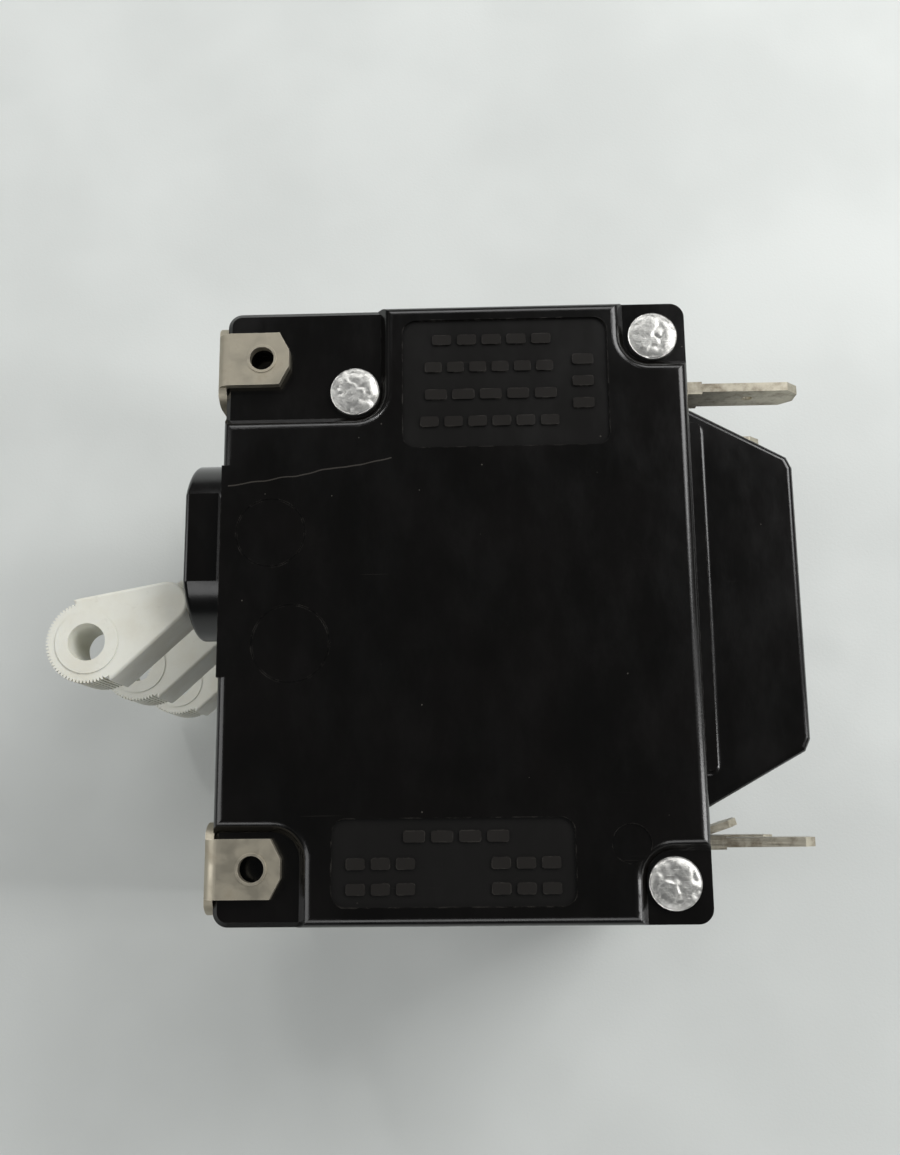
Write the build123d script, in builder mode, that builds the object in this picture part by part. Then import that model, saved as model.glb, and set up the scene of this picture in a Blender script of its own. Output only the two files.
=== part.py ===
from build123d import *
import math
import os

os.makedirs("parts", exist_ok=True)

# Three-pole motor protection breaker. X runs from the panel into the case, Y is up when the
# breaker stands on its panel (the ON direction), Z runs across the poles. The origin is in
# the panel seat plane, at the middle of the panel screw pattern, on the centre pole.

# ---- overall sizes, mm ----
pole_names = ["left", "centre", "right"]
pole_pitch = 19.05
case_height = 63.5
case_depth = 48.5
case_corner_r = 1.5
side_wall = 2.4
end_wall = 1.8
plateau_r = 1.05
seam_w = 0.15
seam_depth = 0.12
slip = 0.1
clip_t = 0.9

case_front = clip_t
case_rear = case_front + case_depth
case_top = case_height / 2
half_pitch = pole_pitch / 2
cavity_half = half_pitch - side_wall
pole_middles = [(index - (len(pole_names) - 1) / 2) * pole_pitch for index in range(len(pole_names))]
stack_half = pole_middles[-1] + half_pitch

# ---- mounting clips ----
screw_spacing = 52.4
clip_y = screw_spacing / 2
clip_plate_w = 9.0
clip_tab_w = 5.75
clip_tab_reach = 7.68
clip_tab_bevel = 1.05
clip_tab_tip_w = 1.8
clip_shoulder_r = 2.6
clip_bend_r = 0.5
clip_tip_lift = 0.1
clip_crease_x = 5.6
panel_hole_r = 1.35
panel_thread_len = 2.3
panel_thread_wall = 0.7
tab_hole_r = 1.28
tab_hole_x = 4.8
tab_hole_rim = 0.25
tab_hole_rim_h = 0.1
tab_hole_pocket = 1.6
well_depth = 8.6
well_wall = 1.6

# ---- rivets, set in from the case's edges, the front one beside the upper clip ----
rivet_r = 1.6
rivet_head_r = 2.58
rivet_head_h = 0.95
rivet_head_edge_r = 0.43
rivet_boss_wall = 1.1
front_rivet = (case_front + 13.7, clip_y - 3.7)
rear_top_rivet = (case_rear - 3.45, case_top - 3.75)
rear_low_rivet = (case_rear - 3.6, -(case_top - 3.85))
rivet_spots = [front_rivet, rear_top_rivet, rear_low_rivet]

# ---- corner recesses in the side faces, the feet of their walls clear of what they hold ----
recess_depth = 1.1
recess_slope_w = 0.8
recess_corner_r = 2.7
front_top_foot = (front_rivet[0] + rivet_head_r + 0.12, front_rivet[1] - rivet_head_r - 0.22)
rear_top_foot = (rear_top_rivet[0] - rivet_head_r - 0.47, rear_top_rivet[1] - rivet_head_r - 0.12)
rear_low_foot = (rear_low_rivet[0] - rivet_head_r - 0.12, rear_low_rivet[1] + rivet_head_r + 0.52)
front_low_foot = (clip_tab_reach + 1.72, -clip_y + clip_tab_w / 2 + 0.62)
recess_floor = half_pitch - recess_depth
clip_tab_z = recess_floor + clip_t / 2

# ---- marks on the outer side faces ----
panel_depth = 0.3
panel_r = 1.4
upper_panel_h = 13.95
lower_panel_h = 8.4
upper_panel_x = (front_top_foot[0] + 2.35, rear_top_foot[0] - 1.8)
lower_panel_x = (front_low_foot[0] + 3.2, rear_low_foot[0] - 6.8)
upper_panel_top = case_top - 1.75
lower_panel_low = -(case_top - 1.85)
dash_w = 1.1
dash_h = 0.2
dash_gap = 0.6
dash_edge_r = 0.27
# each row: down from the panel's top edge, its two ends in from the panel's ends, dashes
upper_dash_rows = [(2.2, 2.85, 5.6, 5), (5.2, 2.05, 5.4, 6), (8.2, 2.05, 5.1, 5), (11.15, 1.55, 4.9, 6)]
lower_dash_rows = [(1.75, 6.7, 6.1, 4)]
lower_dash_pairs = [4.3, 6.7]
dash_pair_len = 7.3
dash_pair_inset = 1.15
dash_pair_count = 3
dash_column_inset = 2.6
dash_column_pitch = 2.4
dash_column_count = 3
mould_marks = [(6.1, 7.25, 3.6), (8.3, -4.2, 4.0)]
mark_groove = 0.14
mark_depth = 0.06
stamp_spot = (case_rear - 7.7, -(case_top - 7.65))
stamp_r = 1.9
front_pad = (-7.5, 14.5)
front_pad_depth = 1.3

# ---- pins ----
pin_r = 1.2
pin_fit = 0.04
crank_pin_r = 1.0
link_pin_end = 4.4
pin_socket = 1.2
pin_boss_wall = 1.2
socket_end = cavity_half + pin_socket

# ---- handle and its collar ----
handle_pivot = (5.9, 7.2)
px, py = handle_pivot
handle_half_swing = 26.4
handle_angle = 180 + handle_half_swing
handle_reach = 22.6
handle_half_t = 3.5
tip_edge_r = 4.87
tip_rim_r = 4.37
tooth_depth = 0.32
tooth_half_w = 0.2
tooth_count = 38
tooth_span = 192
tie_hole_r = 2.0
tie_ring_r = 3.35
tie_ring_h = 0.12
paddle_root_r = 2.3
paddle_root_x = 13.3
paddle_edge_r = 0.35
neck_half_w = 1.75
neck_half_t = 2.25
hub_r = pin_r + 2.2
spring_hub_r = pin_r + 0.9
spring_hub_end = 6.5
drum_r = 7.8
drum_t = 1.0
drum_half_t = 2.9
drum_clearance = 0.3
drum_lap = 17.0
crank_r = 6.0
crank_eye_r = crank_pin_r + 0.9
collar_r = 9.6
collar_half_w = half_pitch - 1.125
collar_front = -3.1
collar_edge_r = 0.5
collar_y = handle_pivot[1]
swing_clearance = 0.4
crank_pin = (
    px + crank_r * math.cos(math.radians(handle_half_swing)),
    py + crank_r * math.sin(math.radians(handle_half_swing)),
)

# ---- toggle link and contact arm ----
link_len = 8.0
link_t = 1.2
link_inner = 2.6
link_eye_wall = 0.8
tail_len = 14.0
arm_pivot = (px + crank_r + tail_len, py - link_len)
arm_half_t = 2.0
arm_w = 3.0
arm_hub_r = pin_r + 1.8
arm_hub_half_t = 2.5
arm_tail_eye_r = crank_pin_r + 0.9
arm_bend = (10.5, 5.9)
arm_tip_x = 19.0
contact_x = 17.1
contact_r = 1.9
contact_t = 1.0
contact_edge_r = 0.25
contact_gap = 0.05
arm_half_swing = math.degrees(
    math.asin(crank_r * math.sin(math.radians(handle_half_swing)) / tail_len)
)
link_slide = (crank_r + tail_len) - (
    crank_r * math.cos(math.radians(handle_half_swing))
    + tail_len * math.cos(math.radians(arm_half_swing))
)
contact_y = arm_pivot[1] + arm_bend[1] + arm_w / 2 + contact_t + contact_gap

# ---- springs ----
handle_wire_r = 0.28
handle_spring_r = spring_hub_r + handle_wire_r + 0.37
handle_spring_pitch = 0.8
handle_spring_turns = 4
opening_spring_x = arm_pivot[0] + 6.1
opening_spring_r = 1.7
opening_wire_r = 0.28
opening_spring_turns = 7
opening_spring_top = arm_pivot[1] + 13.8
spring_ledge_t = 1.6
spring_ledge_half_w = 2.6

# ---- terminals ----
blade_t = 0.95
blade_w = 4.75
blade_tip_bevel = 1.3
blade_hole_r = 0.6
blade_hole_from_tip = 5.3
blade_root_t = 1.4
blade_root_end = case_rear + 2.7
blade_bend_r = 1.0
line_y = case_top - 7.25
line_tip_x = case_rear + 13.3
line_leg_x = case_rear - 3.0
line_foot_x = arm_pivot[0] + contact_x - 3.0
foot_y = contact_y + contact_t + blade_t / 2
load_y = -(case_top - 7.5)
load_tip_x = case_rear + 12.0
load_leg_x = case_rear - 6.3
load_blade_bend_x = case_rear + 5.6
load_blade_bends = {"left": 18.0, "centre": 0.0, "right": 0.0}

# ---- arc chamber and its plates ----
hump_half_t = 6.5
hump_wall = 1.6
hump_root_y = line_y - 3.5
hump_shoulder = (case_rear + 10.35, hump_root_y - 5.7)
hump_back = (case_rear + 10.9, hump_root_y - 6.9)
hump_edge_r = 0.7
rear_lip = (-(hump_root_y - 3.8), hump_root_y - 2.5)
rear_lip_depth = 1.1
rear_lip_half_t = half_pitch - 1.025
plate_count = 7
plate_pitch = 4.0
plate_t = 1.0
plate_groove = 0.4
plate_front = case_rear + 0.9
plate_back = case_rear + 8.8
plate_notch = 3.2
plate_notch_half_w = 2.08

# ---- magnet, coil, armature, latch and trip bar ----
armature_pivot = (arm_pivot[0] + 1.3, arm_pivot[1] - 6.4)
armature_swing = 8.0
armature_t = 1.4
armature_half_w = 4.4
armature_len = 12.3
armature_hub_r = pin_r + 0.6
armature_gap = 0.12
coil_x = armature_pivot[0] + 7.3
coil_r = 6.2
coil_core_r = 2.9
coil_height = 12.0
coil_high = armature_pivot[1] - 3.0
coil_low = coil_high - coil_height
coil_flange_t = 0.8
coil_winding_r = 5.6
load_leg_top = coil_low + 5.2
tube_r = 2.75
tube_low = -case_top + end_wall + 1.55
tube_end_r = 0.9
pole_cap_r = 3.6
pole_cap_t = 1.0
frame_t = 1.8
frame_half_w = 5.5
frame_right = coil_x + 6.5
ear_t = 0.7
trip_plane = -3.9
trip_t = 1.4
trip_w = 1.6
latch_pivot = (armature_pivot[0] - 14.6, armature_pivot[1] - 3.3)
latch_hub_r = pin_r + 0.8
latch_arm = (5.1, 1.2)
latch_arm_w = 1.4
latch_nose = (-2.9, 2.9)
leg_tip = (4.5, -0.7)
trip_bar_spot = (latch_pivot[0] - 5.2, latch_pivot[1] + 5.1)
trip_bar_r = 1.5
trip_bar_end_wall = 1.3
paddle_t = 1.2
paddle_drop = 4.4
paddle_half_w = 1.4
pin_spots = [handle_pivot, arm_pivot, armature_pivot, latch_pivot]

# ---- braids ----
braid_r = 0.8
braid_bend_r = 1.2
lead_tab_end = frame_right + 1.4
lead_tab_t = 0.7


def finish(piece, node):
    piece.part.label = node
    export_step(piece.part, f"parts/{node}.step")


def block(x0, x1, y0, y1):
    with Locations(((x0 + x1) / 2, (y0 + y1) / 2)):
        Rectangle(x1 - x0, y1 - y0)


def rounded_block(x0, x1, y0, y1, radius):
    with Locations(((x0 + x1) / 2, (y0 + y1) / 2)):
        RectangleRounded(x1 - x0, y1 - y0, radius)


def dash_row(x0, x1, level, count):
    # plain dashes spread evenly along a row, on the sketch that is open
    cell = (x1 - x0) / count
    with Locations(((x0 + x1) / 2, level)):
        with GridLocations(cell, 0, count, 1):
            RectangleRounded(cell - dash_gap, dash_w, dash_edge_r)


def hump_points():
    # arc chamber seen from the side, from inside the rear wall to its flat back
    inside = case_rear - 2 * hump_wall
    lower = [(inside, -hump_root_y), (case_rear, -hump_root_y)]
    lower += [(hump_shoulder[0], -hump_shoulder[1]), (hump_back[0], -hump_back[1])]
    upper = [(x, -y) for x, y in reversed(lower)]
    return lower + upper


def slot_points():
    # the handle's slot in the collar, wide enough for the neck at both ends of its swing
    lean = math.tan(math.radians(handle_half_swing))
    neck = neck_half_w / math.cos(math.radians(handle_half_swing)) + swing_clearance
    far = px - collar_front + 1
    return [
        (px, py - neck),
        (px - far, py - far * lean - neck),
        (px - far, py + far * lean + neck),
        (px, py + neck),
    ]


def case_half(hub_side, outermost):
    # One moulded half of a pole, from the pole's middle plane (Z 0) out to its side face.
    # hub_side is how far out the handle's hub reaches in this half.
    with BuildPart() as half:
        with BuildSketch():
            rounded_block(case_front, case_rear, -case_top, case_top, case_corner_r)
        extrude(amount=half_pitch)
        # corner recesses with sloped walls
        recesses = [
            (front_top_foot, -1, 1),
            (front_low_foot, -1, -1),
            (rear_top_foot, 1, 1),
            (rear_low_foot, 1, -1),
        ]
        reach = case_top
        for (edge_x, edge_y), side_x, side_y in recesses:
            centre = (edge_x + side_x * reach / 2, edge_y + side_y * reach / 2)
            for level, widen in ((recess_floor, 0), (half_pitch, recess_slope_w)):
                with BuildSketch(Plane.XY.offset(level)):
                    with Locations(centre):
                        size = reach + 2 * widen
                        RectangleRounded(size, size, recess_corner_r + widen)
            loft(mode=Mode.SUBTRACT)
        plateau = faces().sort_by(Axis.Z)[-1]
        fillet(plateau.outer_wire().edges(), plateau_r)
        # square pad flush with the front, where the collar stands
        with BuildSketch():
            block(case_front, case_front + front_pad_depth, *front_pad)
        extrude(amount=half_pitch)
        # rear lip beside the arc chamber
        with BuildSketch():
            rounded_block(
                case_rear - rear_lip_depth,
                case_rear + rear_lip_depth,
                *rear_lip,
                rear_lip_depth / 2,
            )
        extrude(amount=rear_lip_half_t)
        # collar round the handle
        with BuildSketch(Plane.YZ.offset(collar_front)):
            with Locations((collar_y, 0)):
                Circle(collar_r)
            with Locations((collar_y, collar_half_w / 2)):
                Rectangle(2 * collar_r, collar_half_w, mode=Mode.INTERSECT)
        extrude(amount=case_front - collar_front + end_wall / 2)
        collar_face = faces().sort_by(Axis.X)[0]
        rim = [e for e in collar_face.edges() if e.center().Z > slip]
        fillet(rim, collar_edge_r)
        # arc chamber
        with BuildSketch():
            with BuildLine():
                Polyline(*hump_points(), close=True)
            make_face()
        extrude(amount=hump_half_t)
        chamber_edges = [
            e
            for e in edges().filter_by(Plane.XY)
            if abs(e.center().Z - hump_half_t) < slip and e.center().X > case_rear + rear_lip_depth
        ]
        fillet(chamber_edges, hump_edge_r)
        # hollow for the works, and the arc chamber's own hollow
        with BuildSketch():
            rounded_block(
                case_front + end_wall,
                case_rear - end_wall,
                -case_top + end_wall,
                case_top - end_wall,
                case_corner_r,
            )
        extrude(amount=cavity_half, mode=Mode.SUBTRACT)
        with BuildSketch():
            with BuildLine():
                Polyline(*hump_points(), close=True)
            make_face()
            offset(amount=-hump_wall, kind=Kind.INTERSECTION, mode=Mode.REPLACE)
        extrude(amount=hump_half_t - hump_wall, mode=Mode.SUBTRACT)
        with BuildSketch():
            for index in range(plate_count):
                plate_y = (index - (plate_count - 1) / 2) * plate_pitch
                block(
                    plate_front - slip,
                    plate_back + slip,
                    plate_y - plate_t / 2 - slip / 2,
                    plate_y + plate_t / 2 + slip / 2,
                )
        extrude(amount=hump_half_t - hump_wall + plate_groove, mode=Mode.SUBTRACT)
        # solid columns: rivet bosses, screw wells, frame ribs and the spring ledge
        with BuildSketch():
            with Locations(*rivet_spots):
                Circle(rivet_r + rivet_boss_wall)
            for sign in (-1, 1):
                well_half = panel_hole_r + panel_thread_wall + well_wall
                block(
                    case_front + end_wall / 2,
                    case_front + well_depth,
                    sign * clip_y - well_half,
                    sign * clip_y + well_half,
                )
            frame_low = coil_low - frame_t - slip
            for rib_x in (armature_pivot[0] + frame_t, frame_right - frame_t):
                block(rib_x - frame_t / 2, rib_x + frame_t / 2, -case_top + end_wall / 2, frame_low)
            block(
                opening_spring_x - spring_ledge_half_w,
                opening_spring_x + spring_ledge_half_w,
                opening_spring_top,
                opening_spring_top + spring_ledge_t,
            )
        extrude(amount=cavity_half + slip)
        # pin bosses stand in from the side wall to the piece that turns on the pin
        turning = [hub_side, arm_hub_half_t, frame_half_w, trip_t / 2 - trip_plane]
        for spot, reach_out in zip(pin_spots, turning):
            start = reach_out + 2 * slip
            with BuildSketch(Plane.XY.offset(start)):
                with Locations(spot):
                    Circle(pin_r + pin_boss_wall)
            extrude(amount=cavity_half + slip - start)
        with BuildSketch():
            with Locations(*pin_spots):
                Circle(pin_r + slip / 4)
        extrude(amount=socket_end, mode=Mode.SUBTRACT)
        # room for the handle's drum and neck
        with BuildSketch():
            with Locations(handle_pivot):
                Circle(drum_r + drum_clearance)
            block(px, px + drum_r + 1, py - drum_r - 1, py + drum_r + 1)
        extrude(amount=drum_half_t + drum_clearance, mode=Mode.SUBTRACT)
        # room for the spring on the handle's long hub
        with BuildSketch():
            with Locations(handle_pivot):
                Circle(handle_spring_r + handle_wire_r + slip)
        extrude(amount=hub_side, mode=Mode.SUBTRACT)
        with BuildSketch():
            with BuildLine():
                Polyline(*slot_points(), close=True)
            make_face()
        extrude(amount=neck_half_t + swing_clearance, mode=Mode.SUBTRACT)
        # rivet holes
        with BuildSketch():
            with Locations(*rivet_spots):
                Circle(rivet_r + slip)
        extrude(amount=half_pitch, mode=Mode.SUBTRACT)
        # screw wells behind the clips, and pockets behind the holes in the clip tabs
        with BuildSketch(Plane.YZ.offset(case_front)):
            with Locations((-clip_y, 0), (clip_y, 0)):
                Circle(panel_hole_r + panel_thread_wall + slip)
        extrude(amount=well_depth - well_wall, mode=Mode.SUBTRACT)
        with BuildSketch(Plane.XY.offset(recess_floor)):
            with Locations((tab_hole_x, -clip_y), (tab_hole_x, clip_y)):
                Circle(tab_hole_r)
        extrude(amount=-tab_hole_pocket, mode=Mode.SUBTRACT)
        # room for the inside bend of each clip
        bend_edges = [
            e
            for e in edges().filter_by(Axis.Y)
            if abs(e.center().Z - recess_floor) < slip and e.center().X < case_front + slip
        ]
        chamfer(bend_edges, clip_bend_r)
        # terminal slots in the rear wall
        for slot_y in (line_y, load_y):
            with BuildSketch():
                block(
                    case_rear - 2 * end_wall,
                    case_rear + end_wall,
                    slot_y - blade_root_t / 2 - slip,
                    slot_y + blade_root_t / 2 + slip,
                )
            extrude(amount=blade_w / 2 + slip, mode=Mode.SUBTRACT)
        # trip bar bearing, right through where another pole follows
        with BuildSketch():
            with Locations(trip_bar_spot):
                Circle(trip_bar_r + pin_fit)
        bar_hole = half_pitch - trip_bar_end_wall if outermost else half_pitch
        extrude(amount=bar_hole, mode=Mode.SUBTRACT)
        # fine groove all round where the two halves meet
        with BuildSketch():
            rounded_block(case_front, case_rear, -case_top, case_top, case_corner_r)
            block(collar_front, case_front + end_wall, collar_y - collar_r, collar_y + collar_r)
            block(case_rear - end_wall, case_rear + rear_lip_depth, *rear_lip)
            with BuildLine():
                Polyline(*hump_points(), close=True)
            make_face()
            offset(amount=-seam_w, kind=Kind.INTERSECTION, mode=Mode.SUBTRACT)
        extrude(amount=seam_depth, mode=Mode.SUBTRACT)
        if not outermost:
            return half.part
        # recessed panels with plain raised dashes, mould marks and a stamp, on the side face
        upper_low = upper_panel_top - upper_panel_h
        lower_top = lower_panel_low + lower_panel_h
        for ends, low, high in (
            (upper_panel_x, upper_low, upper_panel_top),
            (lower_panel_x, lower_panel_low, lower_top),
        ):
            with BuildSketch(Plane.XY.offset(half_pitch)):
                rounded_block(*ends, low, high, panel_r)
            extrude(amount=-panel_depth, mode=Mode.SUBTRACT)
        with BuildSketch(Plane.XY.offset(half_pitch - panel_depth)):
            for down, left_in, right_in, count in upper_dash_rows:
                x0 = upper_panel_x[0] + left_in
                dash_row(x0, upper_panel_x[1] - right_in, upper_panel_top - down, count)
            for down, left_in, right_in, count in lower_dash_rows:
                dash_row(lower_panel_x[0] + left_in, lower_panel_x[1] - right_in, lower_top - down, count)
            for down in lower_dash_pairs:
                left_end = lower_panel_x[0] + dash_pair_inset
                right_end = lower_panel_x[1] - dash_pair_inset
                dash_row(left_end, left_end + dash_pair_len, lower_top - down, dash_pair_count)
                dash_row(right_end - dash_pair_len, right_end, lower_top - down, dash_pair_count)
            with Locations((upper_panel_x[1] - dash_column_inset, (upper_low + upper_panel_top) / 2)):
                with GridLocations(0, dash_column_pitch, 1, dash_column_count):
                    RectangleRounded(2 * dash_w, dash_w, dash_edge_r)
        extrude(amount=dash_h)
        with BuildSketch(Plane.XY.offset(half_pitch)):
            for mark_x, mark_y, mark_r in mould_marks:
                with Locations((mark_x, mark_y)):
                    Circle(mark_r)
                    Circle(mark_r - mark_groove, mode=Mode.SUBTRACT)
        extrude(amount=-mark_depth, mode=Mode.SUBTRACT)
        with BuildSketch(Plane.XY.offset(half_pitch)):
            with Locations(stamp_spot):
                Circle(stamp_r)
        extrude(amount=-2 * mark_depth, mode=Mode.SUBTRACT)
    return half.part


def case_piece(middle, side, outermost):
    # a half placed in its pole, its side face towards +Z (side 1) or -Z (side -1)
    shape = case_half(neck_half_t if side > 0 else spring_hub_end, outermost)
    with BuildPart() as piece:
        if side > 0:
            with Locations((0, 0, middle)):
                add(shape)
        else:
            with Locations((0, 0, middle)):
                add(mirror(shape, about=Plane.XY, mode=Mode.PRIVATE))
    return piece


def mounting_clips(middle):
    # two strips bent round the front of the case, tapped for the panel screws
    with BuildPart() as clips:
        for sign in (-1, 1):
            with BuildPart(mode=Mode.PRIVATE) as clip:
                for side in (-1, 1):
                    with BuildSketch(Plane.XZ):
                        with BuildLine():
                            bend = FilletPolyline(
                                (clip_t / 2, 0),
                                (clip_t / 2, side * clip_tab_z),
                                (clip_crease_x, side * clip_tab_z),
                                radius=clip_bend_r + clip_t / 2,
                            )
                            Line(bend @ 1, (clip_tab_reach, side * (clip_tab_z + clip_tip_lift)))
                        trace(line_width=clip_t)
                    extrude(amount=clip_plate_w / 2, both=True)
                with BuildSketch(Plane.YZ):
                    RectangleRounded(
                        clip_plate_w,
                        2 * (clip_tab_z - clip_bend_r / 2),
                        clip_shoulder_r,
                    )
                    Rectangle(clip_tab_w, 2 * half_pitch)
                extrude(amount=clip_tab_reach, mode=Mode.INTERSECT)
                with BuildSketch(Plane.XY.offset(-half_pitch)):
                    with BuildLine():
                        Polyline(
                            (0, -clip_plate_w),
                            (clip_t, -clip_plate_w),
                            (clip_t, -clip_tab_w / 2),
                            (clip_tab_reach - clip_tab_bevel, -clip_tab_w / 2),
                            (clip_tab_reach, -clip_tab_tip_w / 2),
                            (clip_tab_reach, clip_tab_tip_w / 2),
                            (clip_tab_reach - clip_tab_bevel, clip_tab_w / 2),
                            (clip_t, clip_tab_w / 2),
                            (clip_t, clip_plate_w),
                            (0, clip_plate_w),
                            close=True,
                        )
                    make_face()
                extrude(amount=pole_pitch, mode=Mode.INTERSECT)
                with BuildSketch(Plane.YZ.offset(clip_t / 2)):
                    Circle(panel_hole_r + panel_thread_wall)
                extrude(amount=panel_thread_len - clip_t / 2)
                with BuildSketch(Plane.YZ):
                    Circle(panel_hole_r)
                extrude(amount=panel_thread_len, mode=Mode.SUBTRACT)
                tab_outer = clip_tab_z + clip_t / 2
                for side in (-1, 1):
                    with BuildSketch(Plane.XY.offset(side * (tab_outer - clip_t / 2))):
                        with Locations((tab_hole_x, 0)):
                            Circle(tab_hole_r + tab_hole_rim)
                    extrude(amount=side * (clip_t / 2 + tab_hole_rim_h))
                with BuildSketch():
                    with Locations((tab_hole_x, 0)):
                        Circle(tab_hole_r)
                extrude(amount=half_pitch, both=True, mode=Mode.SUBTRACT)
            with Locations((0, sign * clip_y, middle)):
                add(clip.part)
    return clips


def case_rivets():
    # long rivets through all poles, a head sunk in the recess at each end
    with BuildPart() as rivets:
        shank_half = stack_half - recess_depth
        with BuildSketch(Plane.XY.offset(-shank_half)):
            with Locations(*rivet_spots):
                Circle(rivet_r)
        extrude(amount=2 * shank_half)
        for side in (-1, 1):
            with BuildSketch(Plane.XY.offset(side * shank_half)):
                with Locations(*rivet_spots):
                    Circle(rivet_head_r)
            extrude(amount=side * rivet_head_h)
            head_edges = [
                e
                for e in edges().filter_by(GeomType.CIRCLE)
                if abs(abs(e.center().Z) - shank_half - rivet_head_h) < slip
                and e.center().Z * side > 0
            ]
            fillet(head_edges, rivet_head_edge_r)
    return rivets


def handle(middle):
    # toggle handle at OFF, drawn along its own length from the pivot
    turn = math.radians(handle_angle)
    own = Plane(
        origin=(px, py, middle),
        x_dir=(math.cos(turn), math.sin(turn), 0),
        z_dir=(0, 0, 1),
    )
    rim_start = handle_reach - (tip_edge_r - tip_rim_r)
    with BuildPart() as lever:
        # paddle, widening to the free end, which is turned down to a toothed rim
        with BuildSketch(own):
            with Locations((paddle_root_x, 0)):
                Circle(paddle_root_r)
            with Locations((handle_reach, 0)):
                Circle(tip_edge_r)
            make_hull()
            with Locations((rim_start + tip_edge_r, 0)):
                Rectangle(2 * tip_edge_r, 3 * tip_edge_r, mode=Mode.SUBTRACT)
        extrude(amount=handle_half_t, both=True)
        long_edges = [
            e
            for e in edges().filter_by(GeomType.LINE)
            if abs(abs(e.center().Z - middle) - handle_half_t) < slip and e.length > tip_edge_r
        ]
        root_edges = [
            e
            for e in edges().filter_by(GeomType.CIRCLE)
            if abs(abs(e.center().Z - middle) - handle_half_t) < slip
        ]
        fillet(long_edges + root_edges, paddle_edge_r)
        with BuildSketch(own):
            with Locations((handle_reach, 0)):
                Circle(tip_rim_r)
                with PolarLocations(
                    tip_rim_r, tooth_count, start_angle=-tooth_span / 2, angular_range=tooth_span
                ):
                    Polygon(
                        (tooth_half_w, tooth_half_w),
                        (-tooth_depth, 0),
                        (tooth_half_w, -tooth_half_w),
                        align=None,
                        mode=Mode.SUBTRACT,
                    )
        extrude(amount=handle_half_t, both=True)
        with BuildSketch(own):
            with Locations((handle_reach, 0)):
                Circle(tie_ring_r)
        extrude(amount=handle_half_t + tie_ring_h, both=True)
        # neck, hub and crank
        with BuildSketch(own):
            block(-crank_r, paddle_root_x, -neck_half_w, neck_half_w)
            Circle(hub_r)
            with Locations((-crank_r, 0)):
                Circle(crank_eye_r)
        extrude(amount=neck_half_t, both=True)
        # drum that closes the slot in the collar
        drum_span = math.radians(2 * handle_half_swing + drum_lap)
        with BuildSketch(own):
            Circle(drum_r)
            Circle(drum_r - drum_t, mode=Mode.SUBTRACT)
            with BuildLine():
                Polyline(
                    (0, 0),
                    (2 * drum_r * math.cos(drum_span), 2 * drum_r * math.sin(drum_span)),
                    (2 * drum_r, 2 * drum_r * math.sin(drum_span)),
                    (2 * drum_r, -2 * drum_r * math.sin(drum_span)),
                    (2 * drum_r * math.cos(drum_span), -2 * drum_r * math.sin(drum_span)),
                    close=True,
                )
            make_face(mode=Mode.INTERSECT)
        extrude(amount=drum_half_t, both=True)
        with BuildSketch(own):
            Circle(spring_hub_r)
        extrude(amount=-spring_hub_end)
        with BuildSketch(own):
            with Locations((-crank_r, 0)):
                Circle(crank_pin_r)
        extrude(amount=link_pin_end)
        with BuildSketch(own):
            Circle(pin_r + pin_fit)
            with Locations((handle_reach, 0)):
                Circle(tie_hole_r)
        extrude(amount=half_pitch, both=True, mode=Mode.SUBTRACT)
    return lever


def toggle_link(middle):
    # strip from the crank pin down to the contact arm's tail, with a short slot in its lower eye
    eye_r = crank_pin_r + link_eye_wall
    with BuildPart() as link:
        with BuildSketch(Plane(origin=(*crank_pin, middle + link_inner))):
            Circle(eye_r)
            with Locations((0, -link_len), (link_slide, -link_len)):
                Circle(eye_r)
            make_hull()
            Circle(crank_pin_r + pin_fit, mode=Mode.SUBTRACT)
        extrude(amount=link_t)
        with BuildSketch(Plane(origin=(*crank_pin, middle + link_inner))):
            with Locations((0, -link_len), (link_slide, -link_len)):
                Circle(crank_pin_r + slip)
            make_hull()
        extrude(amount=link_t, mode=Mode.SUBTRACT)
    return link


def arm_plane(middle):
    # the contact arm is drawn as it stands when closed, and rests at OFF
    turn = math.radians(-2 * arm_half_swing)
    return Plane(
        origin=(*arm_pivot, middle),
        x_dir=(math.cos(turn), math.sin(turn), 0),
        z_dir=(0, 0, 1),
    )


def contact_arm(middle):
    tail_turn = math.radians(180 + arm_half_swing)
    tail_pin = (tail_len * math.cos(tail_turn), tail_len * math.sin(tail_turn))
    own = arm_plane(middle)
    with BuildPart() as arm:
        with BuildSketch(own):
            with BuildLine():
                Polyline(tail_pin, (0, 0), arm_bend, (arm_tip_x, arm_bend[1]))
            trace(line_width=arm_w)
            with Locations(tail_pin):
                Circle(arm_tail_eye_r)
        extrude(amount=arm_half_t, both=True)
        with BuildSketch(own):
            Circle(arm_hub_r)
        extrude(amount=arm_hub_half_t, both=True)
        with BuildSketch(own):
            with Locations(tail_pin):
                Circle(crank_pin_r)
        extrude(amount=link_pin_end)
        with BuildSketch(own):
            Circle(pin_r + pin_fit)
        extrude(amount=half_pitch, both=True, mode=Mode.SUBTRACT)
    return arm


def moving_contact(middle):
    # round silver button brazed on the arm
    own = arm_plane(middle)
    seat = own.from_local_coords((contact_x, arm_bend[1] + arm_w / 2, 0))
    with BuildPart() as button:
        with BuildSketch(Plane(origin=seat, x_dir=(0, 0, 1), z_dir=own.y_dir)):
            Circle(contact_r)
        extrude(amount=contact_t)
        fillet(button.edges().filter_by(GeomType.CIRCLE), contact_edge_r)
    return button


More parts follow.
